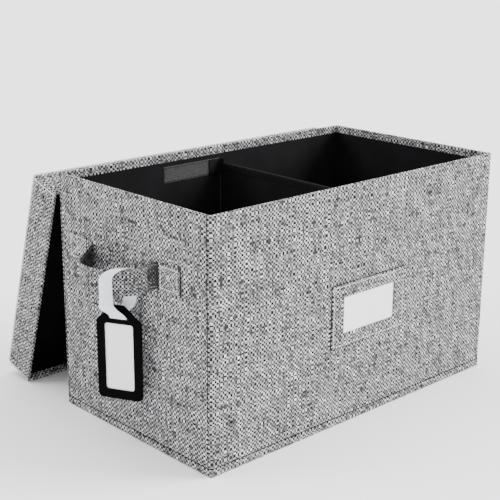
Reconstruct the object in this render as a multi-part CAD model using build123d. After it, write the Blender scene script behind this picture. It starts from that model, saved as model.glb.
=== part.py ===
from build123d import *
import os
from math import cos, hypot, radians, sin, tan

# Carrying case for 12-inch records: linen over board, black lining, and a separate lift-off lid.
# Millimetres. The origin is the centre of the base, on the surface that the case stands on.
# +X runs along the long side, +Y points to the back, where the lid leans, and +Z is up.

# Case
case_length = 600.0
case_width = 340.0
case_height = 365.0
corner_radius = 6.0
inner_radius = 1.0

# Layers of every wall, from the outside in
linen = 1.0
board = 3.0
lining = 1.0
hem_depth = 13.0
binding_height = 12.0

# Loose floor board and divider
floor_board = 3.0
floor_gap = 1.5
divider_x = 15.0
divider_core = 3.0
divider_cloth = 1.0
divider_height = 330.0
divider_gap = 1.0
tape_length = 118.0
tape_height = 26.0
tape_thickness = 1.0
tape_top_drop = 20.0
tape_end_gap = 0.5
tab_length = 24.0

# Label holder on the front
label_x = 10.0
label_z = 172.0
patch_length = 160.0
patch_height = 96.0
patch_cloth = 1.0
pocket_depth = 1.2
label_window_length = 110.0
label_window_height = 55.0
label_overlap = 6.0
label_film = 0.3
label_card = 0.4
card_play = 0.3
pocket_play = 1.0

# Strap handle on each end
strap_height = 38.0
strap_thickness = 3.0
strap_bulge = 50.0
strap_slope = 50.0
strap_bend = 45.0
strap_y = 23.0
strap_z = 262.5
strap_sag = 16.5
sag_bend = 40.0
sag_start = 80.0
sag_end = 56.0
span_half = 85.0
handle_tab_length = 50.0
back_tab_length = 35.0
grip_half = 58.0
grip_gap = 0.2

# Tag and its ribbon loop on the left handle
hang_y = -15.5
tag_yaw = 28.0
tag_width = 68.0
tag_thickness = 3.0
tag_drop = 122.5
tag_corner = 8.0
shoulder_z = -7.5
crown_half = 8.0
crown_z = 16.8
outline_round = 3.0
slot_half = 13.0
slot_height = 3.0
tag_window_width = 42.5
tag_window_height = 97.5
tag_window_drop = 10.7
tag_overlap = 4.0
tag_pocket = 1.2
tag_film = 0.3
tag_card = 0.5
ribbon_width = 18.0
ribbon_thickness = 1.0
ribbon_half = 10.0
ribbon_foot = 4.0
ribbon_spread = 15.2
ribbon_crown = 4.0
ribbon_rise = 16.0
rest_gap = 0.3
tag_hang_z = 198.0

# Lid
lid_gap = 1.0
lid_height = 60.0
lean_angle = 17.5
lean_gap = 0.3
lid_x = 0.0

# Worked out from the sizes above
wall = linen + board + lining
case_size = (case_length, case_width)
lid_size = (case_length + 2 * (wall + lid_gap), case_width + 2 * (wall + lid_gap))
floor_z = linen + board + lining + floor_board
inner_half_width = case_width / 2 - wall
inner_half_length = case_length / 2 - wall
divider_thickness = divider_core + 2 * divider_cloth
reach = 4 * case_length


def rounded_block(size, inset, z0, z1):
    """A block of the case's or lid's plan, drawn in by inset, from z0 to z1."""
    length, width = size[0] - 2 * inset, size[1] - 2 * inset
    radius = max(corner_radius - inset, inner_radius)
    return Pos(0, 0, z0) * extrude(RectangleRounded(length, width, radius), z1 - z0)


def rounded_ring(size, inset, thickness, z0, z1):
    """The four walls of one layer, as a ring from z0 to z1."""
    return rounded_block(size, inset, z0, z1) - rounded_block(size, inset + thickness, z0, z1)


def four_sides(ring, size, inset):
    """Cut a ring of walls into front, back, left and right, where inset is measured from the outer face."""
    cut_y = size[1] / 2 - inset
    between = Box(reach, 2 * cut_y, reach)
    ends = ring & between
    return {
        "front": ring & Pos(0, -cut_y - reach / 2, 0) * Box(reach, reach, reach),
        "back": ring & Pos(0, cut_y + reach / 2, 0) * Box(reach, reach, reach),
        "left": ends & Pos(-reach / 2, 0, 0) * Box(reach, reach, reach),
        "right": ends & Pos(reach / 2, 0, 0) * Box(reach, reach, reach),
    }


def case_walls():
    """Boards, linen covers with their turned-in hems, and linings of the four walls."""
    nodes = {}
    boards = rounded_ring(case_size, linen, board, linen, case_height - linen)
    for side, piece in four_sides(boards, case_size, linen + board).items():
        nodes[side + "_board"] = piece
    skin = rounded_ring(case_size, 0, linen, binding_height, case_height)
    rim = rounded_ring(case_size, 0, 2 * linen + board, case_height - linen, case_height)
    hem = rounded_ring(case_size, linen + board, linen, case_height - hem_depth, case_height)
    for side, piece in four_sides(skin + rim + hem, case_size, corner_radius).items():
        nodes[side + "_cover"] = piece
    inner = rounded_ring(case_size, linen + board, lining, linen + board, case_height - hem_depth)
    for side, piece in four_sides(inner, case_size, wall).items():
        nodes[side + "_lining"] = piece
    return nodes


def case_bottom():
    """Linen sheet and edge binding, board and lining of the bottom, and the loose floor board on them."""
    floor_size = (2 * (inner_half_length - floor_gap), 2 * (inner_half_width - floor_gap))
    floor = extrude(RectangleRounded(floor_size[0], floor_size[1], inner_radius), floor_board)
    return {
        "bottom_binding": rounded_ring(case_size, 0, linen, 0, binding_height),
        "bottom_cover": rounded_block(case_size, linen, 0, linen),
        "bottom_board": rounded_block(case_size, linen + board, linen, linen + board),
        "bottom_lining": rounded_block(case_size, wall, linen + board, linen + board + lining),
        "floor_board": Pos(0, 0, floor_z - floor_board) * floor,
    }


def divider():
    """Stiff board in a sewn black sleeve, its two end tabs, and the loop tapes they press on."""
    half_width = inner_half_width - divider_gap
    centre_z = floor_z + divider_height / 2
    sleeve = Pos(divider_x, 0, centre_z) * Box(divider_thickness, 2 * half_width, divider_height)
    core_size = (divider_core, 2 * (half_width - divider_cloth), divider_height - 2 * divider_cloth)
    core = Pos(divider_x, 0, centre_z) * Box(*core_size)
    left_face = divider_x - divider_thickness / 2
    tape_z = case_height - tape_top_drop - tape_height / 2
    tape_y = inner_half_width - tape_thickness / 2
    tape = Pos(left_face - tape_end_gap - tape_length / 2, 0, tape_z) * Box(tape_length, tape_thickness, tape_height)
    tab_y = inner_half_width - 1.5 * tape_thickness
    tab = Pos(left_face - tab_length / 2, 0, tape_z) * Box(tab_length, tape_thickness, tape_height)
    return {
        "divider_board": core,
        "divider_cover": sleeve - core,
        "divider_tabs": Compound([Pos(0, tab_y, 0) * tab, Pos(0, -tab_y, 0) * tab]),
        "front_loop_tape": Pos(0, -tape_y, 0) * tape,
        "back_loop_tape": Pos(0, tape_y, 0) * tape,
    }


def label_holder():
    """Linen patch with a window, sewn down on three sides and open at the top, clear film and card."""
    face_y = -case_width / 2
    film_length = label_window_length + 2 * label_overlap
    film_height = label_window_height + 2 * label_overlap
    front = Pos(label_x, face_y - pocket_depth - patch_cloth / 2, label_z)
    patch = front * Box(patch_length, patch_cloth, patch_height)
    patch -= front * Box(label_window_length, 2 * patch_cloth, label_window_height)
    edge = Pos(label_x, face_y - pocket_depth / 2, label_z) * Box(patch_length, pocket_depth, patch_height)
    pocket_length = film_length + 2 * pocket_play
    pocket_bottom = label_z - film_height / 2 - pocket_play
    pocket = Box(pocket_length, 2 * pocket_depth, reach, align=(Align.CENTER, Align.CENTER, Align.MIN))
    patch += edge - Pos(label_x, face_y, pocket_bottom) * pocket
    film_y = face_y - pocket_depth + label_film / 2
    card_y = face_y - card_play - label_card / 2
    return {
        "label_patch": patch,
        "label_window": Pos(label_x, film_y, label_z) * Box(film_length, label_film, film_height),
        "label_card": Pos(label_x, card_y, label_z) * Box(film_length, label_card, film_height),
    }


def strap_plan():
    """Centre line of the strap seen from above, as distance along the end wall and out from it."""
    rise = strap_bulge
    foot = span_half - strap_bend * tan(radians(strap_slope / 2))
    top = foot - rise / tan(radians(strap_slope))
    base = strap_thickness / 2
    points = [(-span_half - handle_tab_length, base), (-foot, base), (-top, base + rise)]
    points += [(-x, out) for x, out in reversed(points)]
    return FilletPolyline(*points, radius=strap_bend)


def strap_elevation():
    """Band between the strap's two edges, seen square to the end wall."""
    end = span_half + handle_tab_length
    low = strap_z - strap_sag
    points = [(-end, strap_z), (-sag_start, strap_z), (-sag_end, low)]
    points += [(-y, z) for y, z in reversed(points)]
    centre = FilletPolyline(*points, radius=sag_bend)
    top = Pos(0, strap_height / 2) * centre
    bottom = Pos(0, -strap_height / 2) * centre
    return make_face([top, bottom, Line(top @ 0, bottom @ 0), Line(top @ 1, bottom @ 1)])


def left_strap():
    """The whole left strap in place: sewn flat at its ends, bowed out and sagging between them."""
    plan = Plane(origin=(-case_length / 2, strap_y, strap_z), x_dir=(0, 1, 0), z_dir=(0, 0, 1)) * strap_plan()
    section = Plane(origin=plan @ 0, x_dir=(0, 0, 1), z_dir=plan % 0) * Rectangle(3 * strap_height, strap_thickness)
    ribbon = sweep(section, path=plan)
    band_plane = Plane(origin=(0, strap_y, 0), x_dir=(0, 1, 0), z_dir=(1, 0, 0))
    return ribbon & extrude(band_plane * strap_elevation(), amount=reach, both=True)


def left_handle():
    """Grip that lifts, and the two sewn tabs, each with the short stretch of strap beside it."""
    strap = left_strap()
    tab_start = grip_half + grip_gap
    back_reach = span_half + back_tab_length - tab_start
    return {
        "grip": strap & Pos(0, strap_y, 0) * Box(reach, 2 * grip_half, reach),
        "front_tab": strap & Pos(0, strap_y - tab_start - reach / 2, 0) * Box(reach, reach, reach),
        "back_tab": strap & Pos(0, strap_y + tab_start + back_reach / 2, 0) * Box(reach, back_reach, reach),
    }


def handles():
    """The left handle, and the right one as its mirror image."""
    nodes = {}
    for name, piece in left_handle().items():
        nodes["left_" + name] = piece
        nodes["right_" + name] = mirror(piece, about=Plane.YZ)
    return nodes


def hang_point():
    """Where the tag hangs: on the straight part of the strap's plan, under its centre line."""
    foot = span_half - strap_bend * tan(radians(strap_slope / 2))
    out = strap_thickness / 2 + (hang_y - strap_y + foot) * tan(radians(strap_slope))
    return Vector(-case_length / 2 - out, hang_y, tag_hang_z)


def tag_plane():
    """x across the tag, y up and z out of its face, from the axis that the tag hangs on."""
    yaw = radians(tag_yaw)
    return Plane(origin=hang_point(), x_dir=(sin(yaw), -cos(yaw), 0), z_dir=(-cos(yaw), -sin(yaw), 0))


def tag_outline():
    """Straight sides, rounded lower corners and sloping shoulders up to a flat crown."""
    half = tag_width / 2
    right = [(half, -tag_drop), (half, shoulder_z), (crown_half, crown_z)]
    left = [(-x, y) for x, y in reversed(right)]
    outline = make_face(Polyline(*right, *left, close=True))
    low = outline.vertices().group_by(Axis.Y)[0]
    outline = fillet(low, tag_corner)
    high = [v for v in outline.vertices() if v.Y > shoulder_z - outline_round]
    return fillet(high, outline_round)


def tag():
    """Moulded frame with a card pocket open on one side, its clear window and the card."""
    plane = tag_plane()
    frame = extrude(tag_outline(), tag_thickness / 2, both=True)
    bridge_radius = tag_thickness / 2
    slot_low = -bridge_radius - slot_height
    frame -= Pos(0, slot_low / 2, 0) * Box(2 * slot_half, -slot_low, 2 * tag_thickness)
    frame += Rot(0, 90, 0) * Cylinder(bridge_radius, 2 * slot_half)
    pocket_width = tag_window_width + 2 * tag_overlap
    pocket_height = tag_window_height + 2 * tag_overlap
    window_centre = -tag_window_drop - tag_window_height / 2
    pocket = Box(reach, pocket_height + 2 * card_play, tag_pocket, align=(Align.MAX, Align.CENTER, Align.CENTER))
    frame -= Pos(pocket_width / 2 + card_play, window_centre, 0) * pocket
    opening = Box(tag_window_width, tag_window_height, tag_thickness, align=(Align.CENTER, Align.CENTER, Align.MIN))
    frame -= Pos(0, window_centre, 0) * opening
    film = Pos(0, window_centre, (tag_pocket - tag_film) / 2) * Box(pocket_width, pocket_height, tag_film)
    card = Pos(0, window_centre, (tag_card - tag_pocket) / 2 + card_play / 3)
    card *= Box(pocket_width, pocket_height, tag_card)
    return {
        "tag_frame": plane * frame,
        "tag_window": plane * film,
        "tag_card": plane * card,
    }


def ribbon_outline(grow, stretch):
    """One outline of the ribbon loop: narrow in the tag's slot, wide where it passes over the strap."""
    low = tag_hang_z - tag_thickness / 2 - rest_gap - grow
    high = strap_z - strap_sag + strap_height / 2 + rest_gap + grow
    half = ribbon_half + grow
    right = [(ribbon_foot + grow, low), (half, low + ribbon_rise + grow)]
    right += [(half, high - ribbon_crown), (half - ribbon_crown, high)]
    left = [(-n, z) for n, z in reversed(right)]
    return make_face(Polyline(*[(n * stretch, z) for n, z in right + left], close=True))


def tag_loop():
    """Ribbon over the strap and through the tag's slot, its two runs spread along the strap."""
    slope = radians(strap_slope)
    along = Vector(-sin(slope), cos(slope), 0)
    outward = Vector(-cos(slope), -sin(slope), 0)
    place = hang_point()
    skew = ribbon_spread / ribbon_half
    skewed = outward + along * skew
    plane = Plane(origin=(place.X, place.Y, 0), x_dir=skewed, z_dir=skewed.cross(Vector(0, 0, 1)))
    stretch = hypot(1, skew)
    ring = plane * (ribbon_outline(ribbon_thickness, stretch) - ribbon_outline(0, stretch))
    ring = Pos(*(along * (-ribbon_width / 2))) * ring
    return {"tag_loop": extrude(ring, amount=ribbon_width, dir=along)}


def lid():
    """Shallow tray: board panel and skirts, linen covers with a turned-in hem, and a black lining."""
    nodes = {}
    inside_z = lid_height - wall
    skirts = rounded_ring(lid_size, linen, board, linen, lid_height - linen - board)
    for side, piece in four_sides(skirts, lid_size, linen + board).items():
        nodes["lid_" + side + "_board"] = piece
    nodes["lid_panel_board"] = rounded_block(lid_size, linen, lid_height - linen - board, lid_height - linen)
    skin = rounded_ring(lid_size, 0, linen, 0, lid_height - linen)
    rim = rounded_ring(lid_size, 0, 2 * linen + board, 0, linen)
    hem = rounded_ring(lid_size, linen + board, linen, 0, hem_depth)
    for side, piece in four_sides(skin + rim + hem, lid_size, corner_radius).items():
        nodes["lid_" + side + "_cover"] = piece
    nodes["lid_panel_cover"] = rounded_block(lid_size, 0, lid_height - linen, lid_height)
    tray = rounded_ring(lid_size, linen + board, lining, hem_depth, inside_z)
    nodes["lid_lining"] = tray + rounded_block(lid_size, linen + board, inside_z, inside_z + lining)
    return {name: lid_place() * piece for name, piece in nodes.items()}


def lid_place():
    """The lid stands on its long edge and leans its rim on the back of the case."""
    lean = radians(lean_angle)
    half = lid_size[1] / 2
    foot_y = case_width / 2 + lean_gap + lid_size[1] * sin(lean)
    return Location((lid_x, foot_y - half * sin(lean), half * cos(lean)), (lean_angle - 90, 0, 0))


def build():
    nodes = {}
    for group in (case_bottom, case_walls, divider, label_holder, handles, tag, tag_loop, lid):
        nodes.update(group())
    return nodes


os.makedirs("parts", exist_ok=True)
for node, shape in build().items():
    solids = shape.solids()
    export_step(solids[0] if len(solids) == 1 else Compound(solids), f"parts/{node}.step")
    print(node, len(solids), round(sum(s.volume for s in solids)))
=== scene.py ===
import math
from functools import partial

import bmesh
import bpy
import numpy as np
from mathutils import Matrix, Vector


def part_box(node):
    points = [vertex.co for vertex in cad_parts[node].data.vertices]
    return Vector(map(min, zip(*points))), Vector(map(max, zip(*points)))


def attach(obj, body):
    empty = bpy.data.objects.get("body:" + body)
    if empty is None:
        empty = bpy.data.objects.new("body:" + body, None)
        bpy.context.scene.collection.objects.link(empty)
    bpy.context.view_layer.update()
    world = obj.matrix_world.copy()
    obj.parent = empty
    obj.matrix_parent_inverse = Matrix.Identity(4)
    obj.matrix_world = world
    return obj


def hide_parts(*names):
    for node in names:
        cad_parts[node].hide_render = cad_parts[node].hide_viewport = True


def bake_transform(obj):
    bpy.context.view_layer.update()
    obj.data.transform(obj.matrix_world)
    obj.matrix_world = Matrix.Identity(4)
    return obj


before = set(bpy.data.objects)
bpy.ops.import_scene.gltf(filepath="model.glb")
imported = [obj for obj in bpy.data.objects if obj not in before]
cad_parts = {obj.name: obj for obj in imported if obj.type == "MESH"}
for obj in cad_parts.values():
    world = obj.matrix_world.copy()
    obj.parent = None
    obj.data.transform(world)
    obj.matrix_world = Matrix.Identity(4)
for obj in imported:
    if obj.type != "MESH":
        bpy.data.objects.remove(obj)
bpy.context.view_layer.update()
mm = 0.001
print("frame:", len(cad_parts), "nodes")


def hexColor(text):
    channels = [int(text[i:i + 2], 16) / 255 for i in (1, 3, 5)]
    linear = [c / 12.92 if c <= 0.04045 else ((c + 0.055) / 1.055) ** 2.4 for c in channels]
    return (*linear, 1.0)


def addNode(tree, kind, settings=None, links=None):
    # a number or a socket's name sets that input; a linked node gives its first output
    node = tree.nodes.new(kind)
    for key, value in (settings or {}).items():
        if isinstance(key, int) or key in node.inputs:
            node.inputs[key].default_value = value
        else:
            setattr(node, key, value)
    for key, source in (links or {}).items():
        tree.links.new(source.outputs[0] if hasattr(source, "outputs") else source, node.inputs[key])
    return node


def addObject(name, data):
    item = bpy.data.objects.new(name, data)
    bpy.context.scene.collection.objects.link(item)
    return item


def ripple(u, v, wave, seed):
    # gentle random relief from about -1 to 1 over a surface: seven crossing waves, u and v in metres
    rng = np.random.default_rng(seed)
    total = 0.0
    for turn in rng.uniform(0, 2 * math.pi, 7):
        length = wave * rng.uniform(0.7, 1.6)
        phase = rng.uniform(0, 2 * math.pi)
        total = total + np.sin((u * math.cos(turn) + v * math.sin(turn)) * 2 * math.pi / length + phase)
    return total / 4.5


def ease(x):
    x = np.clip(x, 0, 1)
    return x * x * (3 - 2 * x)


def bell(distance, width):
    return np.exp(-(distance / width) ** 2)


def unit(rows):
    return rows / np.linalg.norm(rows, axis=-1, keepdims=True)


def middle(low, high):
    return (low + high) / 2


def runLengths(points):
    steps = np.linalg.norm(np.diff(points, axis=0), axis=1)
    return np.concatenate([[0], np.cumsum(steps)])


def spread(length, step, fine=(0.5, 1.0, 1.6, 2.4, 3.6, 5.5)):
    # positions along a run, close together at both ends, where cloth turns in to its seams
    near = [f * mm for f in fine if f * mm < length / 3]
    count = max(2, int(round((length - 2 * near[-1]) / step)))
    centre = np.linspace(near[-1], length - near[-1], count + 1)
    return np.array([0.0] + near[:-1] + list(centre) + [length - n for n in near[:-1][::-1]] + [length])


def roundedLine(corners, radius, closed=False, step=15):
    # straight runs joined by tangent arcs, one point every so many degrees of turn
    corners = [np.array(c, float) for c in corners]
    count = len(corners)
    radii = radius if hasattr(radius, "__len__") else [radius] * count
    line = []
    for i, corner in enumerate(corners):
        if not closed and i in (0, count - 1):
            line.append(corner)
            continue
        a, b = unit(corners[i - 1] - corner), unit(corners[(i + 1) % count] - corner)
        half = math.acos(max(-1, min(1, float(a @ b)))) / 2
        centre = corner + unit(a + b) * radii[i] / math.sin(half)
        start = corner + a * radii[i] / math.tan(half) - centre
        end = corner + b * radii[i] / math.tan(half) - centre
        turn = math.pi - 2 * half
        side = np.sign(start[0] * end[1] - start[1] * end[0])
        pieces = max(1, int(math.ceil(math.degrees(turn) / step)))
        for k in range(pieces + 1):
            t = side * turn * k / pieces
            c, s = math.cos(t), math.sin(t)
            line.append(centre + np.array([start[0] * c - start[1] * s, start[0] * s + start[1] * c]))
    return np.array(line)


def rectangle(left, right, low, high, corner, step=15):
    corners = [(left, low), (right, low), (right, high), (left, high)]
    return roundedLine(corners, corner, closed=True, step=step)


def closeLine(line):
    return np.vstack([line, line[:1]])


def resample(line, step):
    run = runLengths(line)
    count = max(2, int(round(run[-1] / step)))
    at = np.linspace(0, run[-1], count + 1)
    return np.stack([np.interp(at, run, line[:, i]) for i in range(line.shape[1])], axis=1)


def makePiece(name, vertices, faces, uvs, material):
    mesh = bpy.data.meshes.new(name)
    mesh.from_pydata([tuple(v) for v in vertices], [], faces)
    layer = mesh.uv_layers.new(name="weave")
    layer.data.foreach_set("uv", np.array(uvs, np.float32).ravel())
    mesh.materials.append(material)
    mesh.polygons.foreach_set("use_smooth", [True] * len(mesh.polygons))
    mesh.update()
    return addObject(name, mesh)


def gridPiece(name, points, uvs, material, flip=False, around=False):
    # a surface from rows of points; around closes each row into a ring
    rows, columns = points.shape[:2]
    faces, corners = [], []
    for i in range(rows - 1):
        for j in range(columns if around else columns - 1):
            k = (j + 1) % columns
            face = [(i, j, j), (i, k, j + 1), (i + 1, k, j + 1), (i + 1, j, j)]
            if flip:
                face.reverse()
            faces.append([a * columns + b for a, b, c in face])
            corners += [uvs[a][c] for a, b, c in face]
    return makePiece(name, points.reshape(-1, 3), faces, corners, material)


def sweptPiece(name, stations, section, material, loop=False):
    # a closed section carried along stations of (origin, across, through), with its ends capped
    count, size = len(stations), len(section)
    points = np.array([[o + a * x + b * y for x, y in section] for o, a, b in stations])
    along = runLengths(np.array([o for o, a, b in stations]))
    if loop:
        along = np.append(along, along[-1] + np.linalg.norm(stations[-1][0] - stations[0][0]))
    around = runLengths(closeLine(section))
    faces, corners = [], []
    for i in range(count if loop else count - 1):
        n = (i + 1) % count
        for j in range(size):
            k = (j + 1) % size
            faces.append([i * size + j, i * size + k, n * size + k, n * size + j])
            corners += [(along[i], around[j]), (along[i], around[j + 1])]
            corners += [(along[i + 1], around[j + 1]), (along[i + 1], around[j])]
    if not loop:
        for end, order in ((0, range(size - 1, -1, -1)), (count - 1, range(size))):
            faces.append([end * size + j for j in order])
            corners += [tuple(section[j]) for j in order]
    piece = makePiece(name, points.reshape(-1, 3), faces, corners, material)
    return reshape(piece, faceOutwards)


def reshape(piece, change):
    # hands the piece's mesh to a change and takes it back
    shell = bmesh.new()
    shell.from_mesh(piece.data)
    change(shell)
    shell.to_mesh(piece.data)
    shell.free()
    return piece


def faceOutwards(shell):
    if shell.calc_volume(signed=True) < 0:
        bmesh.ops.reverse_faces(shell, faces=shell.faces)


def weld(piece, reach):
    # joins points that lie together, such as a sheet's rows where they meet on its middle line
    return reshape(piece, lambda shell: bmesh.ops.remove_doubles(shell, verts=shell.verts, dist=reach))


def finishMesh(piece):
    # the modifiers' result becomes the piece's own plain mesh
    graph = bpy.context.evaluated_depsgraph_get()
    mesh = bpy.data.meshes.new_from_object(piece.evaluated_get(graph))
    mesh.name = piece.name
    piece.modifiers.clear()
    piece.data = mesh
    return piece


def thicken(piece, thickness):
    # cloth gets its thickness on the side that faces the board
    wall = piece.modifiers.new("thickness", "SOLIDIFY")
    wall.thickness = thickness
    wall.offset = -1
    wall.use_even_offset = False
    return finishMesh(piece)


def joinPieces(name, pieces):
    combined = bmesh.new()
    for piece in pieces:
        combined.from_mesh(piece.data)
    mesh = bpy.data.meshes.new(name)
    combined.to_mesh(mesh)
    combined.free()
    mesh.materials.append(pieces[0].data.materials[0])
    for piece in pieces:
        bpy.data.objects.remove(piece)
    return addObject(name, mesh)


def place(piece, matrix):
    piece.data.transform(matrix)
    piece.data.update()
    return piece


def dress(piece, body, replaced=()):
    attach(piece, body)
    if replaced:
        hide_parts(*replaced)
    return piece


def newMaterial(name, settings):
    material = bpy.data.materials.new(name)
    material.use_nodes = True
    shader = material.node_tree.nodes["Principled BSDF"]
    for key, value in settings.items():
        shader.inputs[key].default_value = value
    return material, shader, partial(addNode, material.node_tree)


def finishShader(shader, height, strength, relief, colour=None):
    tree = shader.id_data
    bump = addNode(tree, "ShaderNodeBump", {"Strength": strength, "Distance": relief}, {"Height": height})
    tree.links.new(bump.outputs[0], shader.inputs["Normal"])
    if colour:
        tree.links.new(colour, shader.inputs["Base Color"])


# plain-woven polyester linen, matt: light warp, charcoal weft, each a heathered mix of fibres
linenWeave = {
    "shader": {"Roughness": 0.92, "Specular IOR Level": 0.2},
    "pitch": (3.4 * mm, 3.3 * mm),  # real threads lie about 0.7 mm apart, drawn coarser so that they show
    "yarns": [(0.0, "#0e0e0f"), (0.3, "#3a3a3b"), (0.6, "#9c9c9d"), (0.85, "#d2d2d3"), (1.0, "#f6f6f6")],
    "tone": (0.63, 0.15),  # where the warp and the weft lie on that range
    "mix": 0.2,  # how far one yarn's tone strays along its run
    "blend": 12.0,  # crossings over which it does so
    "apart": (3.71, 40.0),  # how far two yarns, and warp and weft, lie apart in the noise of their tones
    "speck": 0.16,  # how far it strays from one crossing to the next
    "wander": 2.0,  # how far thick and thin yarns push each other aside, in pitches
    "bunch": (0.45, 0.05),  # how soon, in pitches, they change: from yarn to yarn, and along one yarn
    "slub": 0.06,  # tone and height of the thick places
    "slubRun": (1.0, 0.07),  # how often they come across the yarns and along them
    # the gap darkening below is painted shade in the hollows between yarns
    "gap": 0.82,  # how dark the hollows between yarns are
    "patch": (111 * mm, 0.02),  # size and depth of the faint clouds over a whole wall
    "relief": 0.2 * mm,
    "bump": 0.8,
}
# the straps' cloth: the same yarns woven finer with a darker weft, with painted shade in its folds and on
# the side that faces the wall
strapWeave = dict(linenWeave, pitch=(2.8 * mm, 2.8 * mm), tone=(0.6, 0.05), folds="foldShade")


def weaveMaterial(name, weave):
    material, shader, add = newMaterial(name, weave["shader"])
    wide, tall = weave["pitch"]
    uv = add("ShaderNodeUVMap", {"uv_map": "weave"})
    quick, slow = weave["bunch"]
    uneven = []  # thick and thin yarns, each nearly straight, from two layers of one noise
    for often, layer in (((quick / wide, slow / tall, 1), 0), ((slow / wide, quick / tall, 1), 9)):
        lie = add("ShaderNodeMapping", {"Scale": often, "Location": (0, 0, layer)}, {0: uv})
        uneven.append(add("ShaderNodeTexNoise", {"Scale": 1.0, "Detail": 1.0}, {"Vector": lie}))
    drift = add("ShaderNodeCombineXYZ", {}, {0: uneven[0], 1: uneven[1]})
    aside = (weave["wander"] * wide, weave["wander"] * tall, 0)
    shift = add("ShaderNodeVectorMath", {"operation": "MULTIPLY", 1: aside}, {0: drift})
    moved = add("ShaderNodeVectorMath", {"operation": "ADD"}, {0: uv, 1: shift})
    threads = add("ShaderNodeVectorMath", {"operation": "MULTIPLY", 1: (1 / wide, 1 / tall, 0)}, {0: moved})
    cell = add("ShaderNodeVectorMath", {"operation": "FLOOR"}, {0: threads})
    part = add("ShaderNodeVectorMath", {"operation": "FRACTION"}, {0: threads})
    yarn, index, within = [add("ShaderNodeSeparateXYZ", {}, {0: source}).outputs
                           for source in (threads, cell, part)]
    total = add("ShaderNodeMath", {"operation": "ADD"}, {0: index[0], 1: index[1]})
    weftOver = add("ShaderNodeMath", {"operation": "FLOORED_MODULO", 1: 2.0}, {0: total})

    tones = []
    rowApart, setApart = weave["apart"]
    for own, along in ((0, 1), (1, 0)):  # warp, then weft
        row = add("ShaderNodeMath", {"operation": "MULTIPLY", 1: rowApart}, {0: index[own]})
        run = add("ShaderNodeMath", {"operation": "MULTIPLY", 1: 1 / weave["blend"]}, {0: yarn[along]})
        where = add("ShaderNodeCombineXYZ", {2: setApart * own}, {0: row, 1: run})
        fibre = {"Scale": 1.0, "Detail": 2.0, "Roughness": 0.6}
        fibres = add("ShaderNodeTexNoise", fibre, {"Vector": where})
        darkest, lightest = weave["tone"][own] - weave["mix"], weave["tone"][own] + weave["mix"]
        tones.append(add("ShaderNodeMapRange", {1: 0.25, 2: 0.75, 3: darkest, 4: lightest}, {0: fibres}))
    tone = add("ShaderNodeMix", {}, {0: weftOver, 2: tones[0], 3: tones[1]})
    for step, weight in (((0, 0, 0), 1.0), ((1, 0, 0), -0.4), ((0, 1, 0), -0.6)):  # neighbours differ
        near = add("ShaderNodeVectorMath", {"operation": "ADD", 1: step}, {0: cell})
        chance = add("ShaderNodeTexWhiteNoise", {"noise_dimensions": "2D"}, {"Vector": near})
        tone = add("ShaderNodeMath", {"operation": "MULTIPLY_ADD", 1: 2 * weave["speck"] * weight},
                   {0: chance, 2: tone})

    slubs = []
    often, seldom = weave["slubRun"]
    for stretch in ((often, seldom, 1.0), (seldom, often, 1.0)):
        long = add("ShaderNodeMapping", {"Scale": stretch}, {0: threads})
        thick = add("ShaderNodeTexNoise", {"Scale": 0.9, "Detail": 0.0}, {"Vector": long})
        slub = {1: 0.3, 2: 0.7, 3: -weave["slub"], 4: weave["slub"]}
        slubs.append(add("ShaderNodeMapRange", slub, {0: thick}))
    both = add("ShaderNodeMath", {"operation": "ADD"}, {0: slubs[0], 1: slubs[1]})
    mixed = add("ShaderNodeMath", {"operation": "ADD"}, {0: tone, 1: both})
    ramp = add("ShaderNodeValToRGB", {}, {0: mixed})
    stops = ramp.color_ramp.elements
    while len(stops) < len(weave["yarns"]):
        stops.new(0.5)
    for stop, (position, colour) in zip(stops, weave["yarns"]):
        stop.position = position
        stop.color = hexColor(colour)

    # painted shade: the colour darkens in the hollows between the yarns, then takes faint random clouds
    waves = [add("ShaderNodeMath", {"operation": "PINGPONG", 1: 0.5}, {0: within[i]}) for i in (0, 1)]
    pillow = add("ShaderNodeMath", {"operation": "MULTIPLY"}, {0: waves[0], 1: waves[1]})
    crossing = add("ShaderNodeMapRange", {1: 0.0, 2: 0.1, 3: weave["gap"], 4: 1.0}, {0: pillow})
    size, depth = weave["patch"]
    cloudy = add("ShaderNodeTexNoise", {"Scale": 1 / size, "Detail": 3.0}, {"Vector": uv})
    patchy = add("ShaderNodeMapRange", {1: 0.25, 2: 0.75, 3: 1 - depth, 4: 1 + depth}, {0: cloudy})
    shade = add("ShaderNodeMath", {"operation": "MULTIPLY"}, {0: crossing, 1: patchy})
    # painted shade: the strap's cloth darkened in its folds and on its side facing the wall, as the mesh
    # marks them
    if "folds" in weave:  # cloth darkened in the folds, as the mesh marks them
        folds = add("ShaderNodeAttribute", {"attribute_name": weave["folds"]})
        shade = add("ShaderNodeMath", {"operation": "MULTIPLY"}, {0: shade, 1: folds.outputs["Fac"]})
    colour = add("ShaderNodeVectorMath", {"operation": "SCALE"}, {0: ramp, "Scale": shade})
    height = add("ShaderNodeMath", {"operation": "MULTIPLY_ADD", 1: 2.5}, {0: pillow, 2: both})
    finishShader(shader, height, weave["bump"], weave["relief"], colour.outputs[0])
    return material


linen = weaveMaterial("linen_woven_heathered", linenWeave)
strapLinen = weaveMaterial("linen_woven_strap", strapWeave)

# spunbond polypropylene, heat-bonded in a grid of small dimples: dull black with a faint sheen
nonwoven = {
    "shader": {"Roughness": 0.85, "Specular IOR Level": 0.12},
    "colours": ("#08080a", "#151517"),  # fibre, and where it is worn
    "fibre": 1.11 * mm,  # size of the felted clumps
    "cloud": 45.5 * mm,  # size of the thin and dense places
    "dimple": 3.2 * mm,  # real bond points lie about 1.2 mm apart, drawn coarser so that they show
    "relief": 0.25 * mm,
    "bump": 0.55,
}


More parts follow.
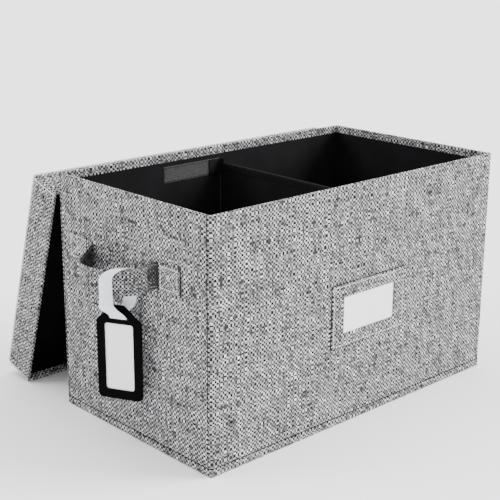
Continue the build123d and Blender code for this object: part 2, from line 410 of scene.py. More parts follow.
def nonwovenMaterial(name):
    material, shader, add = newMaterial(name, nonwoven["shader"])
    uv = add("ShaderNodeUVMap", {"uv_map": "weave"})
    fibres = add("ShaderNodeTexNoise", {"Scale": 1 / nonwoven["fibre"], "Detail": 3.0, "Distortion": 1.5},
                 {"Vector": uv})
    cloud = add("ShaderNodeTexNoise", {"Scale": 1 / nonwoven["cloud"], "Detail": 4.0}, {"Vector": uv})
    tone = add("ShaderNodeMath", {"operation": "MULTIPLY"}, {0: fibres, 1: cloud})
    ranged = add("ShaderNodeMapRange", {1: 0.12, 2: 0.42}, {0: tone})
    fresh, worn = (hexColor(colour) for colour in nonwoven["colours"])
    colour = add("ShaderNodeMix", {"data_type": "RGBA", 6: fresh, 7: worn}, {0: ranged})
    grid = add("ShaderNodeVectorMath", {"operation": "SCALE", "Scale": 1 / nonwoven["dimple"]}, {0: uv})
    dots = add("ShaderNodeTexVoronoi", {"Scale": 1.0, "Randomness": 0.0}, {"Vector": grid})
    dimple = add("ShaderNodeMapRange", {1: 0.1, 2: 0.32}, {0: dots.outputs["Distance"]})
    height = add("ShaderNodeMath", {"operation": "MULTIPLY_ADD", 1: 0.35}, {0: fibres, 2: dimple})
    finishShader(shader, height, nonwoven["bump"], nonwoven["relief"], colour.outputs[2])
    return material


blackLining = nonwovenMaterial("polypropylene_spunbond_black")


def grainMaterial(name, settings, colours, size, relief, ends=(0.3, 0.7), bump=0.5):
    # colour and relief follow one fine grain of a given size, on the piece's own coordinates
    material, shader, add = newMaterial(name, settings)
    where = add("ShaderNodeTexCoord").outputs["Object"]
    grain = add("ShaderNodeTexNoise", {"Scale": 1 / size, "Detail": 4.0, "Roughness": 0.6},
                {"Vector": where})
    ranged = add("ShaderNodeMapRange", {1: ends[0], 2: ends[1]}, {0: grain})
    dark, light = (hexColor(colour) for colour in colours)
    colour = add("ShaderNodeMix", {"data_type": "RGBA", 6: dark, 7: light}, {0: ranged})
    finishShader(shader, grain, bump, relief, colour.outputs[2])
    return material


# pressed grey millboard: matt, flecked with short fibres
greyBoard = grainMaterial("greyboard_pressed", {"Roughness": 0.9}, ("#77736b", "#9b968c"),
                          1.67 * mm, 0.1 * mm)
# knitted nylon loop tape: black fluff, greyer where the loops catch the light
loopNylon = grainMaterial("nylon_loop_tape_knitted", {"Roughness": 0.75, "Sheen Weight": 0.3},
                          ("#0a0a0b", "#3d3d40"), 2.0 * mm, 0.5 * mm, ends=(0.45, 0.75), bump=0.9)
# twisted polyester thread, half matt, in the linen's grey, in white and in charcoal, the charcoal also
# painting shadow along seams and edges
sewingThread = grainMaterial("polyester_thread_grey", {"Roughness": 0.6}, ("#6e6e70", "#98989a"),
                             1.11 * mm, 0.1 * mm)
whiteThread = grainMaterial("polyester_thread_white", {"Roughness": 0.6}, ("#e0e0e0", "#fafafa"),
                            1.11 * mm, 0.1 * mm)
darkThread = grainMaterial("polyester_thread_charcoal", {"Roughness": 0.7, "Specular IOR Level": 0.1},
                           ("#08080a", "#151517"), 1.11 * mm, 0.1 * mm)
# uncoated card: plain white, matt, nearly even
cardStock = grainMaterial("card_uncoated_white", {"Roughness": 0.85}, ("#f8f8f6", "#ffffff"),
                          2.5 * mm, 0.03 * mm)
# soft moulded PVC: deep black with a dull skin
blackPlastic = grainMaterial("pvc_moulded_black", {"Roughness": 0.4, "Specular IOR Level": 0.02},
                             ("#020203", "#050506"), 1.43 * mm, 0.04 * mm, bump=0.3)
# woven polyester satin: white, faintly translucent, with a soft shine
ribbonSatin = grainMaterial("polyester_satin_ribbon_white",
                            {"Roughness": 0.42, "Sheen Weight": 0.2, "Subsurface Weight": 0.15},
                            ("#ececee", "#ffffff"), 4.0 * mm, 0.08 * mm, bump=0.4)


def filmMaterial(name):
    # clear flexible PVC: glossy and slightly wavy
    material, shader, add = newMaterial(name, {"Roughness": 0.08, "IOR": 1.45, "Alpha": 0.06})
    where = add("ShaderNodeTexCoord").outputs["Object"]
    wave = add("ShaderNodeTexNoise", {"Scale": 1 / (40 * mm), "Detail": 1.0}, {"Vector": where})
    finishShader(shader, wave, 0.2, 0.3 * mm)
    return material


clearFilm = filmMaterial("pvc_film_clear")
print("materials:", len(bpy.data.materials))


def newTree(name, inputs):
    # a tree that changes a geometry, with named inputs; gives those sockets' identifiers too
    tree = bpy.data.node_groups.new(name, "GeometryNodeTree")
    tree.interface.new_socket("Geometry", in_out="INPUT", socket_type="NodeSocketGeometry")
    sockets = {}
    for label, kind in inputs:
        made = tree.interface.new_socket(label, in_out="INPUT", socket_type="NodeSocket" + kind)
        sockets[label] = made.identifier
    tree.interface.new_socket("Geometry", in_out="OUTPUT", socket_type="NodeSocketGeometry")
    add = partial(addNode, tree)
    return tree, sockets, add, add("NodeGroupInput").outputs


def runTree(piece, tree, sockets, values):
    modifier = piece.modifiers.new(tree.name, "NODES")
    modifier.node_group = tree
    for label, value in values.items():
        modifier[sockets[label]] = value
    return finishMesh(piece)


def makeStitchTree():
    # short threads along any set of lines
    inputs = [("Pitch", "Float"), ("Length", "Float"), ("Thickness", "Float"), ("Thread", "Material")]
    tree, sockets, add, given = newTree("stitchRow", inputs)
    curve = add("GeometryNodeMeshToCurve", {}, {0: given["Geometry"]})
    points = add("GeometryNodeResampleCurve", {"mode": "LENGTH"},
                 {"Curve": curve, "Length": given["Pitch"]})
    tangent = add("GeometryNodeInputTangent")
    turn = add("FunctionNodeAlignRotationToVector", {"axis": "Z"}, {"Vector": tangent})
    thread = add("GeometryNodeMeshUVSphere", {"Segments": 6, "Rings": 4, "Radius": 0.5})
    size = add("ShaderNodeCombineXYZ", {},
               {0: given["Thickness"], 1: given["Thickness"], 2: given["Length"]})
    threads = add("GeometryNodeInstanceOnPoints", {},
                  {"Points": points, "Instance": thread, "Rotation": turn, "Scale": size})
    real = add("GeometryNodeRealizeInstances", {}, {0: threads})
    done = add("GeometryNodeSetMaterial", {}, {"Geometry": real, "Material": given["Thread"]})
    add("NodeGroupOutput", {}, {0: done})
    return tree, sockets


stitchTree, stitchSockets = makeStitchTree()
seamStitch = {"Pitch": 4.2 * mm, "Length": 3.4 * mm, "Thickness": 0.75 * mm}
# heavy charcoal rows: real stitching, drawn dark and thick so that they paint the shadow in seams, at the
# label's edge and at the strap ends
seamAndShadowStitch = {"Pitch": 4.0 * mm, "Length": 4.4 * mm, "Thickness": 1.7 * mm}  # drawn heavier so that it shows


def sewRows(name, lines, thread, stitch=seamStitch):
    vertices, edges = [], []
    for line in lines:
        edges += [(len(vertices) + i, len(vertices) + i + 1) for i in range(len(line) - 1)]
        vertices += [tuple(p) for p in line]
    mesh = bpy.data.meshes.new(name)
    mesh.from_pydata(vertices, edges, [])
    rows = runTree(addObject(name, mesh), stitchTree, stitchSockets, dict(stitch, Thread=thread))
    rows.data.polygons.foreach_set("use_smooth", [True] * len(rows.data.polygons))
    return rows


# linen over board, for the walls of the case and of the lid
baseLow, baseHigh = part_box("bottom_binding")
case = {
    "half": ((baseHigh.x - baseLow.x) / 2, (baseHigh.y - baseLow.y) / 2),
    "height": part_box("front_cover")[1].z,
    "bindingTop": baseHigh.z,
    "corner": 6 * mm,
    "wall": 5 * mm,
    "rimRound": 1.8 * mm,
    "hem": 13 * mm,
    "cloth": 0.4 * mm,  # thin enough for a turned-in edge to stay outside the board
    "tuck": 0.5 * mm,
    "tuckRun": (2.4 * mm, 2.6 * mm),  # over which the cloth turns in at its foot and at its side seams
    "step": 8 * mm,
    "swell": (0.22 * mm, 130 * mm),  # slow relief of the glued cloth, with its wave
    "pucker": (0.16 * mm, 7.5 * mm, 40 * mm),  # gathers over the foot seam, their run, and its change
    "puckerRise": (1.5 * mm, 5 * mm),  # where they lie above the foot, and how far they reach
    "fade": (20 * mm, 25 * mm),  # over which the swell rises from the foot and from the side seams
    "sway": (0.125 * mm, 90 * mm, 40 * mm),  # the rim's wander, its wave, and how far down it reaches
}


def wallPath(side, half, corner, step):
    # one panel's line round the case, anticlockwise from above: the long panels wrap the corners
    length, width = half[0], half[1] - corner
    if side in ("left", "right"):
        along = spread(2 * width, step)
        points = np.stack([np.full_like(along, -length), width - along], axis=1)
        normals = np.tile([-1.0, 0.0], (len(along), 1))
    else:
        turn = np.radians(np.linspace(180, 270, 8))
        bow = np.stack([np.cos(turn), np.sin(turn)], axis=1)
        straight = spread(2 * (length - corner), step)[1:-1]
        first = np.array([-length + corner, -width]) + corner * bow
        flat = np.stack([-length + corner + straight, np.full_like(straight, -half[1])], axis=1)
        last = np.array([length - corner, -width]) + corner * bow[::-1] * [-1, 1]
        points = np.vstack([first, flat, last])
        normals = np.vstack([bow, np.tile([0.0, -1.0], (len(straight), 1)), bow[::-1] * [-1, 1]])
    if side in ("right", "back"):
        points, normals = -points, -normals
    return points, normals


def wallProfile(low, top, shell):
    # (inset, height) up the outside, over the rim and down to the hem's turned-in edge
    r, wall, tuck = shell["rimRound"], shell["wall"], shell["tuck"]
    rise = low + spread(top - r - low, shell["step"])
    inset = tuck * (1 - ease((rise - low) / shell["tuckRun"][0]))
    turn = np.radians(np.linspace(0, 90, 5))[1:]
    outer = np.stack([r - r * np.cos(turn), top - r + r * np.sin(turn)], axis=1)
    inner = np.stack([wall - r + r * np.sin(turn), top - r + r * np.cos(turn)], axis=1)
    bottom = top - shell["hem"]
    fall = np.array([[wall, top - r - f * (shell["hem"] - r)] for f in (0.25, 0.5, 0.75, 0.9)])
    fold = np.array([[wall - 0.1 * mm, bottom + 0.4 * mm], [wall - 0.5 * mm, bottom]])
    flat = np.array([[wall - r, top]])
    return np.vstack([np.stack([inset, rise], axis=1), outer, flat, inner, fall, fold])


def wallPanel(name, side, shell, low, seed, material):
    path, normals = wallPath(side, shell["half"], shell["corner"], shell["step"])
    profile = wallProfile(low, shell["height"], shell)
    run, climb = runLengths(path), runLengths(profile)
    edge = np.minimum(run, run[-1] - run)
    seamTurn = shell["tuck"] * (1 - ease(edge / shell["tuckRun"][1]))
    swell, swellWave = shell["swell"]
    pucker, puckerRun, puckerWave = shell["pucker"]
    puckerAt, puckerReach = shell["puckerRise"]
    footFade, sideFade = shell["fade"]
    sway, swayWave, swayReach = shell["sway"]
    rim, top = shell["height"] - shell["rimRound"], shell["height"]
    gathers = pucker * np.sin(run / puckerRun + 2 * ripple(run, run, puckerWave, seed + 1))
    points = np.zeros((len(profile), len(path), 3))
    for i, (inset, z) in enumerate(profile):
        outside = inset < shell["tuck"] + 0.01 * mm and z < rim
        fade = ease((z - low) / footFade) * ease(edge / sideFade) * outside
        relief = swell * ripple(run, np.full_like(run, z), swellWave, seed) * fade
        relief = relief + gathers * np.exp(-abs(z - low - puckerAt) / puckerReach) * outside
        drift = sway * ripple(run, run, swayWave, seed + 2) * ease((z - top + swayReach) / swayReach)
        inward = inset + seamTurn * np.sign(shell["wall"] / 2 - inset) - relief
        points[i, :, :2] = path - normals * inward[:, None]
        points[i, :, 2] = z + drift * (z > rim - 1 * mm)
    uvs = np.stack(np.meshgrid(run, climb), axis=2) + [0.37 * seed, 0.11 * seed]  # its own cut of cloth
    return thicken(gridPiece(name, points, uvs, material), shell["cloth"])


for seed, side in enumerate(("front", "right", "back", "left")):
    cover = wallPanel(f"case_{side}_linen", side, case, case["bindingTop"], seed + 1, linen)
    dress(cover, "case", [f"{side}_cover"])
print("case walls")

# a folded strip round the foot of the case
binding = {
    "proud": 0.35 * mm,
    "round": 2.0 * mm,
    "under": 5.4 * mm,
    "sheet": 0.5 * mm,
    "wave": (0.18 * mm, 5.2 * mm, 35 * mm),  # gathers over its stitching, their run, and its change
}


def ringPath(half, corner, step):
    points, normals = [], []
    for side in ("front", "right", "back", "left"):
        path, normal = wallPath(side, half, corner, step)
        points.append(path[:-1])
        normals.append(normal[:-1])
    return np.vstack(points), np.vstack(normals)


def bindingStrip():
    path, normals = ringPath(case["half"], case["corner"], 4 * mm)
    top, r, proud = case["bindingTop"], binding["round"], binding["proud"]
    turn = np.radians(np.linspace(0, 90, 6))
    bend = np.stack([r - proud - r * np.sin(turn), r - r * np.cos(turn)], axis=1)
    under = np.array([[f * binding["under"], 0.0] for f in (1.0, 0.7, 0.4)])
    rise = np.array([[-proud, z] for z in np.linspace(r + 1.5 * mm, top - 1.0 * mm, 6)])
    fold = np.array([[-0.7 * proud, top - 0.45 * mm], [-0.2 * proud, top - 0.1 * mm], [0.35 * mm, top]])
    profile = np.vstack([under, bend, rise, fold])
    run = runLengths(closeLine(path))
    climb = runLengths(profile)
    depth, length, change = binding["wave"]
    wave = depth * np.sin(run[:-1] / length + 2.4 * ripple(run[:-1], run[:-1], change, 21))
    points = np.zeros((len(profile), len(path), 3))
    for i, (inset, z) in enumerate(profile):
        share = ease((z - 5 * mm) / (5 * mm))
        points[i, :, :2] = path - normals * (inset - wave * share)[:, None]
        points[i, :, 2] = z + 0.5 * wave * (share > 0.9)
    uvs = np.stack(np.meshgrid(run, climb), axis=2) + [2.3, 0.9]
    strip = gridPiece("case_bottom_binding", points, uvs, linen, around=True)
    return thicken(strip, case["cloth"])


dress(bindingStrip(), "case", ["bottom_binding"])


# flat sheets of cloth: rings near the edge, from where the others follow evenly, and the relief's wave
sheet = {"step": 12 * mm, "edge": (0, 1.5 * mm, 4 * mm), "even": 10 * mm, "rings": 14, "wave": 110 * mm}


def flatSheet(name, half, corner, z, down, relief, seed, material):
    # a rounded rectangle: rings shrink from the edge to the middle line
    path = ringPath(half, corner, sheet["step"])[0]
    rings = np.concatenate([sheet["edge"], np.linspace(sheet["even"], half[1], sheet["rings"])])
    rows = []
    for ring in rings:
        limit = np.maximum(np.array(half) - ring, 0)
        rows.append(np.clip(path, -limit, limit))
    flat = np.array(rows)
    height = z + relief * ripple(flat[:, :, 0], flat[:, :, 1], sheet["wave"], seed)
    points = np.concatenate([flat, height[:, :, None]], axis=2)
    closed = np.concatenate([flat, flat[:, :1]], axis=1)
    return weld(gridPiece(name, points, closed, material, flip=down, around=True), 0.02 * mm)


# heavy seams, their charcoal thread partly real stitching and partly painted shadow in the seam: how deep
# they sit at the corners, and how far they wander, with their waves
seamLine = {"deep": 0.35 * mm, "drift": 0.25 * mm, "upright": 60 * mm, "round": 50 * mm, "step": 6 * mm}


def cornerSeams(name, shell, low, high):
    # upright seams where the long panels, wrapped round the corners, meet the end panels, their charcoal
    # thread also painting the seam's shadow
    rows = []
    rise = np.linspace(low, high, 24)
    for x in (-1, 1):
        for y in (-1, 1):
            across = x * (shell["half"][0] - seamLine["deep"])
            along = y * (shell["half"][1] - shell["corner"])
            drift = seamLine["drift"] * ripple(rise, rise, seamLine["upright"], 130 + 2 * x + y)
            rows.append(np.column_stack([np.full_like(rise, across), along + drift, rise]))
    return sewRows(name, rows, darkThread, seamAndShadowStitch)


def ringSeam(name, shell, z, out, seed):
    # a ring of charcoal stitches that also paints the shadow in the seam round the foot
    path, normals = ringPath(shell["half"], shell["corner"], seamLine["step"])
    run = runLengths(path)
    drift = seamLine["drift"] * ripple(run, run, seamLine["round"], seed)
    ring = np.column_stack([path + normals * out, z + drift])
    return sewRows(name, [closeLine(ring)], darkThread, seamAndShadowStitch)


seamLow, seamTop = case["bindingTop"], case["height"] - case["rimRound"]
dress(cornerSeams("case_corner_seams_and_shadows", case, seamLow, seamTop), "case")
dress(ringSeam("case_foot_seam_and_shadow", case, seamLow + 0.4 * mm, -0.2 * mm, 141), "case")

baseHalf = (case["half"][0] - 1 * mm, case["half"][1] - 1 * mm)
baseSheet = flatSheet("case_base_linen", baseHalf, 5 * mm, binding["sheet"], True, 0, 31, linen)
dress(thicken(baseSheet, case["cloth"]), "case", ["bottom_cover"])
print("case foot")

# black sheets glued inside, a little loose
lining = {
    "loose": (0.7 * mm, 150 * mm),  # how far it billows off the board, and its wave
    "thickness": 0.4 * mm,
    "start": 5 * mm,  # height of its lower edge
    "hold": 40 * mm,  # over which it comes away from its glued edges
    "step": (12 * mm, 14 * mm),
    "lap": 0.1 * mm,  # how far it sinks into what it is glued to
}


def liningPanel(name, side, shell, low, high, seed):
    stepAlong, stepUp = lining["step"]
    path, normals = wallPath(side, shell["half"], shell["corner"], stepAlong)
    run = runLengths(path)
    rise = low + spread(high - low, stepUp)
    loose, wave = lining["loose"]
    points = np.zeros((len(rise), len(path), 3))
    for i, z in enumerate(rise):
        edge = np.minimum(np.minimum(run, run[-1] - run), min(z - low, high - z))
        billow = loose * (0.5 + 0.5 * ripple(run, np.full_like(run, z), wave, seed))
        inset = shell["wall"] - lining["lap"] + billow * ease(edge / lining["hold"])
        points[i, :, :2] = path - normals * inset[:, None]
        points[i, :, 2] = z
    uvs = np.stack(np.meshgrid(run, rise), axis=2)
    return thicken(gridPiece(name, points, uvs, blackLining, flip=True), lining["thickness"])


liningTop = case["height"] - case["hem"]
for seed, side in enumerate(("front", "right", "back", "left")):
    panel = liningPanel(f"case_{side}_lining", side, case, lining["start"], liningTop, 41 + seed)
    dress(panel, "case", [f"{side}_lining"])
innerHalf = (case["half"][0] - case["wall"], case["half"][1] - case["wall"])
bottomLining = flatSheet("case_bottom_lining", innerHalf, 1 * mm, lining["start"] - lining["lap"], False,
                         0.1 * mm, 47, blackLining)
dress(thicken(bottomLining, lining["thickness"]), "case", ["bottom_lining"])
print("linings")


# boards wrapped in cloth: the relief's wave, and how far from the edge it rises and the face settles
wrapped = {"wave": 90 * mm, "rise": 15 * mm, "settle": 4 * mm}


def softBoard(name, centre, size, edge, relief, seed, material, step=12 * mm):
    # a box with rounded edges and a little relief on its faces
    half = [s / 2 for s in size]
    turn = np.sin(np.radians([0, 30, 60, 90])) * edge
    axes = []
    for h in half:
        inner = np.zeros(1)
        if h > edge * 1.5:
            inner = spread(2 * (h - edge), step, fine=(1.0, 2.5, 6.0)) - (h - edge)
        axes.append(np.unique(np.round(np.concatenate([-h + edge - turn, inner, h - edge + turn]), 7)))
    vertices, faces, uvs = [], [], []
    for axis in range(3):
        others = [a for a in range(3) if a != axis]
        for sign in (-1, 1):
            first, second = np.meshgrid(axes[others[0]], axes[others[1]], indexing="ij")
            points = np.zeros((*first.shape, 3))
            points[..., axis] = sign * half[axis]
            points[..., others[0]] = first
            points[..., others[1]] = second
            core = np.clip(points, [-(h - edge) for h in half], [h - edge for h in half])
            points = core + unit(points - core) * edge
            rim = np.minimum(half[others[0]] - abs(first), half[others[1]] - abs(second))
            lift = relief * ripple(first, second, wrapped["wave"], seed + axis) * ease(rim / wrapped["rise"])
            points[..., axis] += sign * (lift - relief) * ease(rim / wrapped["settle"])
            base, columns = len(vertices), first.shape[1]
            vertices += list(points.reshape(-1, 3))
            flat = np.stack([first, second], axis=2)
            outward = (sign > 0) == (axis != 1)
            for i in range(first.shape[0] - 1):
                for j in range(columns - 1):
                    corners = [(i, j), (i + 1, j), (i + 1, j + 1), (i, j + 1)]
                    if not outward:
                        corners.reverse()
                    faces.append([base + a * columns + b for a, b in corners])
                    uvs += [tuple(flat[c]) for c in corners]
    piece = weld(makePiece(name, vertices, faces, uvs, material), 0.01 * mm)
    return place(piece, Matrix.Translation(centre))


floorLow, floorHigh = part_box("floor_board")
floorPad = softBoard("loose_floor", middle(floorLow, floorHigh), floorHigh - floorLow, 1.3 * mm, 0.12 * mm,
                     51, blackLining, 20 * mm)
dress(floorPad, "floor", ["floor_board"])

dividerLow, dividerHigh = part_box("divider_cover")
divider = {
    "centre": middle(dividerLow, dividerHigh),
    "size": dividerHigh - dividerLow,
    "sleeve": 4.2 * mm,  # under the binding, which brings the edge to the full thickness
    "inside": (1.6 * mm, 1 * mm),  # how much shorter and lower it is than with the binding
    "edge": 1.6 * mm,
    "relief": 0.15 * mm,
    "band": 11 * mm,
    "bandCloth": 0.35 * mm,
    "bandIn": (0.7 * mm, 0.6 * mm),  # how far its line stays inside the divider's sides and top
    "bandFoot": 1 * mm,
    "bandOff": 0.25 * mm,  # how far it stands off the sleeve
    "corner": 4 * mm,
    "step": 2.5 * mm,
    "sewn": 2.5 * mm,  # the stitch row's distance from the band's edge
    "pucker": 0.55 * mm,
    "gather": (2.9 * mm, 40 * mm),  # run of the puckers, and its change
    "lumps": (14 * mm, 0.3 * mm),  # their run, and how far they push the band's edge
    "pull": (0.35 * mm, 1.3 * mm),  # how deep and how wide the stitching pulls the band in
    "thread": {"Length": 3.0 * mm, "Thickness": 0.6 * mm},
}
shorter, lower = divider["inside"]
sleeveSize = (divider["sleeve"], divider["size"].y - shorter, divider["size"].z - lower)
sleeve = softBoard("divider_sleeve", divider["centre"], sleeveSize, divider["edge"], divider["relief"], 55,
                   blackLining)
dress(sleeve, "divider", ["divider_cover"])


def dividerBinding():
    # a folded band round the top and sides, gathered by its stitching into small puckers
    inSides, inTop = divider["bandIn"]
    halfWidth, low = divider["size"].y / 2 - inSides, divider["centre"].z - divider["size"].z / 2
    top, foot = low + divider["size"].z - inTop, low + divider["bandFoot"]
    corners = [(-halfWidth, foot), (-halfWidth, top), (halfWidth, top), (halfWidth, foot)]
    path = resample(roundedLine(corners, divider["corner"]), divider["step"])
    tangent = unit(np.gradient(path, axis=0))
    normal = np.stack([-tangent[:, 1], tangent[:, 0]], axis=1)
    run = runLengths(path)
    half, band = divider["sleeve"] / 2 + divider["bandOff"], divider["band"]
    turn = np.radians(np.linspace(-90, 90, 9))
    fold = np.stack([half * np.sin(turn), -half + half * np.cos(turn)], axis=1)
    flank = np.array([[half, -half - f * (band - half)] for f in (0.2, 0.4, 0.6, 0.78, 0.9)])
    hem = np.array([[half - 0.15 * mm, -band], [half - 0.4 * mm, -band - 0.2 * mm]])
    right = np.vstack([fold[5:], flank, hem])
    section = np.vstack([(right * [-1, 1])[::-1], fold[4:5], right])
    points = np.zeros((len(path), len(section), 3))
    sewn = band - divider["sewn"]
    length, change = divider["gather"]
    lumpRun, lumpPush = divider["lumps"]
    pull, reach = divider["pull"]
    for j, (x, depth) in enumerate(section):
        side = 1 if x >= 0 else -1
        gatherSeed, lumpSeed = (61, 63) if side > 0 else (62, 64)
        held = bell(-depth - sewn, reach)
        gather = np.sin(run / length + 3 * ripple(run, run, change, gatherSeed))
        lumps = ripple(run, np.full_like(run, depth), lumpRun, lumpSeed)
        swell = divider["pucker"] * (0.5 * gather + 0.5 * lumps) * (1 - held) - pull * held
        points[:, j, 0] = divider["centre"].x + x + side * swell * min(1, abs(x) / half)
        away = depth + lumpPush * lumps * (depth > -half)
        points[:, j, 1:] = path + normal * away[:, None]
    uvs = np.stack(np.meshgrid(runLengths(section), run), axis=2)
    piece = thicken(gridPiece("divider_binding", points, uvs, blackLining), divider["bandCloth"])
    dress(piece, "divider")
    rows = []
    for side in (-1, 1):
        flat = path[1:-1] - normal[1:-1] * sewn
        across = divider["centre"].x + side * (divider["sleeve"] / 2 + 0.2 * mm)
        rows.append(np.column_stack([np.full(len(flat), across), flat]))
    dress(sewRows("divider_stitches", rows, darkThread, dict(seamStitch, **divider["thread"])), "divider")


dividerBinding()

# hook tabs leave the divider's edges, turn along the walls and press on the loop tapes
tapeLow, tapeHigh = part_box("back_loop_tape")
tabsLow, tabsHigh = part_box("divider_tabs")
tab = {
    "thickness": 0.9 * mm, "width": 25 * mm, "edge": 0.35 * mm, "bend": 3 * mm,
    "back": 9 * mm,  # how far it lies along the divider
}


def hookTab(name, side):
    wallY = tabsHigh.y - tab["thickness"] / 2
    start = divider["centre"].x - divider["sleeve"] / 2 - tab["thickness"] / 2
    corners = [(start, wallY - tab["back"]), (start, wallY), (tabsLow.x, wallY)]
    line = resample(roundedLine(corners, tab["bend"]), 1.5 * mm)
    stations = []
    for (x, y), (tx, ty) in zip(line, unit(np.gradient(line, axis=0))):
        origin = np.array([x, side * y, middle(tabsLow, tabsHigh).z])
        stations.append((origin, np.array([0, 0, 1.0]), np.array([-ty, side * tx, 0])))
    w, t = tab["width"] / 2, tab["thickness"] / 2
    return sweptPiece(name, stations, rectangle(-w, w, -t, t, tab["edge"], step=45), blackLining)


tabs = joinPieces("divider_hook_tabs", [hookTab("tab_a", -1), hookTab("tab_b", 1)])
dress(tabs, "divider", ["divider_tabs"])

tufts = {"Density": 240000.0, "Size": 0.85 * mm, "Seed": 7, "Nylon": loopNylon}


def makeTuftTree():
    # tiny arched loops strewn over a tape, each turned its own way
    inputs = [("Density", "Float"), ("Size", "Float"), ("Seed", "Int"), ("Nylon", "Material")]
    tree, sockets, add, given = newTree("loopTufts", inputs)
    points = add("GeometryNodeDistributePointsOnFaces", {},
                 {"Mesh": given["Geometry"], "Density": given["Density"], "Seed": given["Seed"]})
    arch = add("GeometryNodeCurveArc", {"Resolution": 5, "Radius": 0.5, "Sweep Angle": math.radians(230)})
    fibre = add("GeometryNodeCurvePrimitiveCircle", {"Resolution": 3, "Radius": 0.12})
    tube = add("GeometryNodeCurveToMesh", {}, {0: arch, 1: fibre})
    upright = add("GeometryNodeTransform", {"Rotation": (math.radians(90), 0, 0)}, {"Geometry": tube})
    spin = add("FunctionNodeRandomValue", {"data_type": "FLOAT", 2: 0.0, 3: 6.28}, {"Seed": given["Seed"]})
    turn = add("FunctionNodeAxisAngleToRotation", {}, {"Angle": spin.outputs[1]})
    facing = add("FunctionNodeRotateRotation", {"rotation_space": "LOCAL"},
                 {0: points.outputs["Rotation"], 1: turn})
    copies = add("GeometryNodeInstanceOnPoints", {},
                 {"Points": points, "Instance": upright, "Rotation": facing, "Scale": given["Size"]})
    joined = add("GeometryNodeJoinGeometry", {}, {0: copies})
    tree.links.new(given["Geometry"], joined.inputs[0])
    real = add("GeometryNodeRealizeInstances", {}, {0: joined})
    done = add("GeometryNodeSetMaterial", {}, {"Geometry": real, "Material": given["Nylon"]})
    add("NodeGroupOutput", {}, {0: done})
    return tree, sockets


tuftTree, tuftSockets = makeTuftTree()
tape = {"thickness": 0.6 * mm, "edge": 0.25 * mm, "relief": 0.03 * mm, "sewn": 2 * mm}


def loopTape(name, side, replaced):
    size, centre = tapeHigh - tapeLow, middle(tapeLow, tapeHigh)
    backing = softBoard(name, (centre.x, side * (centre.y + 0.15 * mm), centre.z),
                        (size.x, tape["thickness"], size.z), tape["edge"], tape["relief"], 71, loopNylon)
    dress(runTree(backing, tuftTree, tuftSockets, tufts), "case", [replaced])
    left, right = tapeLow.x + tape["sewn"], tapeHigh.x - tape["sewn"]
    low, high = tapeLow.z + tape["sewn"], tapeHigh.z - tape["sewn"]
    row = closeLine(np.array([(left, low), (right, low), (right, high), (left, high)]))
    return np.column_stack([row[:, 0], np.full(len(row), side * (tapeLow.y - 0.05 * mm)), row[:, 1]])


tapeRows = [loopTape("front_loop_tape_pile", -1, "front_loop_tape"),
            loopTape("back_loop_tape_pile", 1, "back_loop_tape")]
dress(sewRows("loop_tape_stitches", tapeRows, darkThread), "case")
print("floor and divider")

strap = {
    "height": 38 * mm, "thickness": 2.7 * mm, "edge": 1.25 * mm, "crown": 0.3 * mm,
    "bulge": 50 * mm, "slope": 50, "bend": 45 * mm, "y": 23 * mm, "z": 262.5 * mm,
    "sag": 16.5 * mm, "sagBend": 40 * mm, "sagStart": 80 * mm, "sagEnd": 56 * mm,
    "span": 85 * mm, "tab": 50 * mm, "step": 2.5 * mm,
    "back": {"slope": 58, "bend": 10 * mm, "top": 32 * mm, "foot": 62 * mm, "sagStart": 77 * mm,
             "sagEnd": 36 * mm, "tab": 35 * mm},  # the side behind the tag hangs steeper
    "seamIn": 3.6 * mm,
    "groove": (0.35 * mm, 0.8 * mm),  # how deep and how wide the stitch rows pull in
    "turnStart": 66 * mm, "turnEnd": 38 * mm,  # between these the cloth bends when the handle lifts
    "sewn": (91 * mm, 75 * mm),  # from the strap's centre to each tab's inner row of stitches
    "box": (3 * mm, 4 * mm),  # the crossed box's distance from that row and from the tab's tip
    # painted shade: the fold's shadow and the darker side that faces the wall are painted into the cloth's
    # colour
    "fold": (52 * mm, 88 * mm, 0.08),  # where the fold's shadow starts and ends, and how dark it gets
    "inside": 0.28,  # how dark the side that faces the wall is
    "boxThread": 1.1 * mm,
}


def strapLines():
    # the strap's middle seen from above, as (distance along, distance out), and its height along the wall
    slope, back = math.radians(strap["slope"]), strap["back"]
    steep = math.radians(back["slope"])
    foot = strap["span"] - strap["bend"] * math.tan(slope / 2)
    top = foot - strap["bulge"] / math.tan(slope)
    backTop = back["foot"] - strap["bulge"] / math.tan(steep)
    end, backEnd = strap["span"] + strap["tab"], strap["span"] + back["tab"]
    base = strap["thickness"] / 2 + 0.1 * mm
    out = base + strap["bulge"]
    plan = [(-end, base), (-foot, base), (-top, out), (backTop, out), (back["foot"], base), (backEnd, base)]
    plan = roundedLine(plan, [strap["bend"]] * 3 + [back["top"], back["bend"], 0], step=5)
    low = -strap["sag"]
    rise = [(-end, 0), (-strap["sagStart"], 0), (-strap["sagEnd"], low),
            (back["sagEnd"], low), (back["sagStart"], 0), (backEnd, 0)]
    return plan, roundedLine(rise, strap["sagBend"], step=5)


def strapSection():
    half, r = strap["height"] / 2, strap["edge"]
    depth, width = strap["groove"]
    across = np.concatenate([-half + r * (1 - np.cos(np.radians([0, 30, 60, 90]))),
                             np.linspace(-half + 2.2 * mm, half - 2.2 * mm, 27),
                             half - r * (1 - np.cos(np.radians([90, 60, 30, 0])))])
    body = strap["thickness"] / 2 - strap["crown"] + strap["crown"] * (1 - (across / half) ** 2)
    for side in (-1, 1):
        body -= depth * bell(across - side * (half - strap["seamIn"]), width)
    edge = half - abs(across)
    body = np.minimum(body, np.sqrt(np.maximum(r ** 2 - np.maximum(r - edge, 0) ** 2, 0)))
    return np.vstack([np.stack([across, body], axis=1), np.stack([across, -body], axis=1)[::-1][1:-1]])


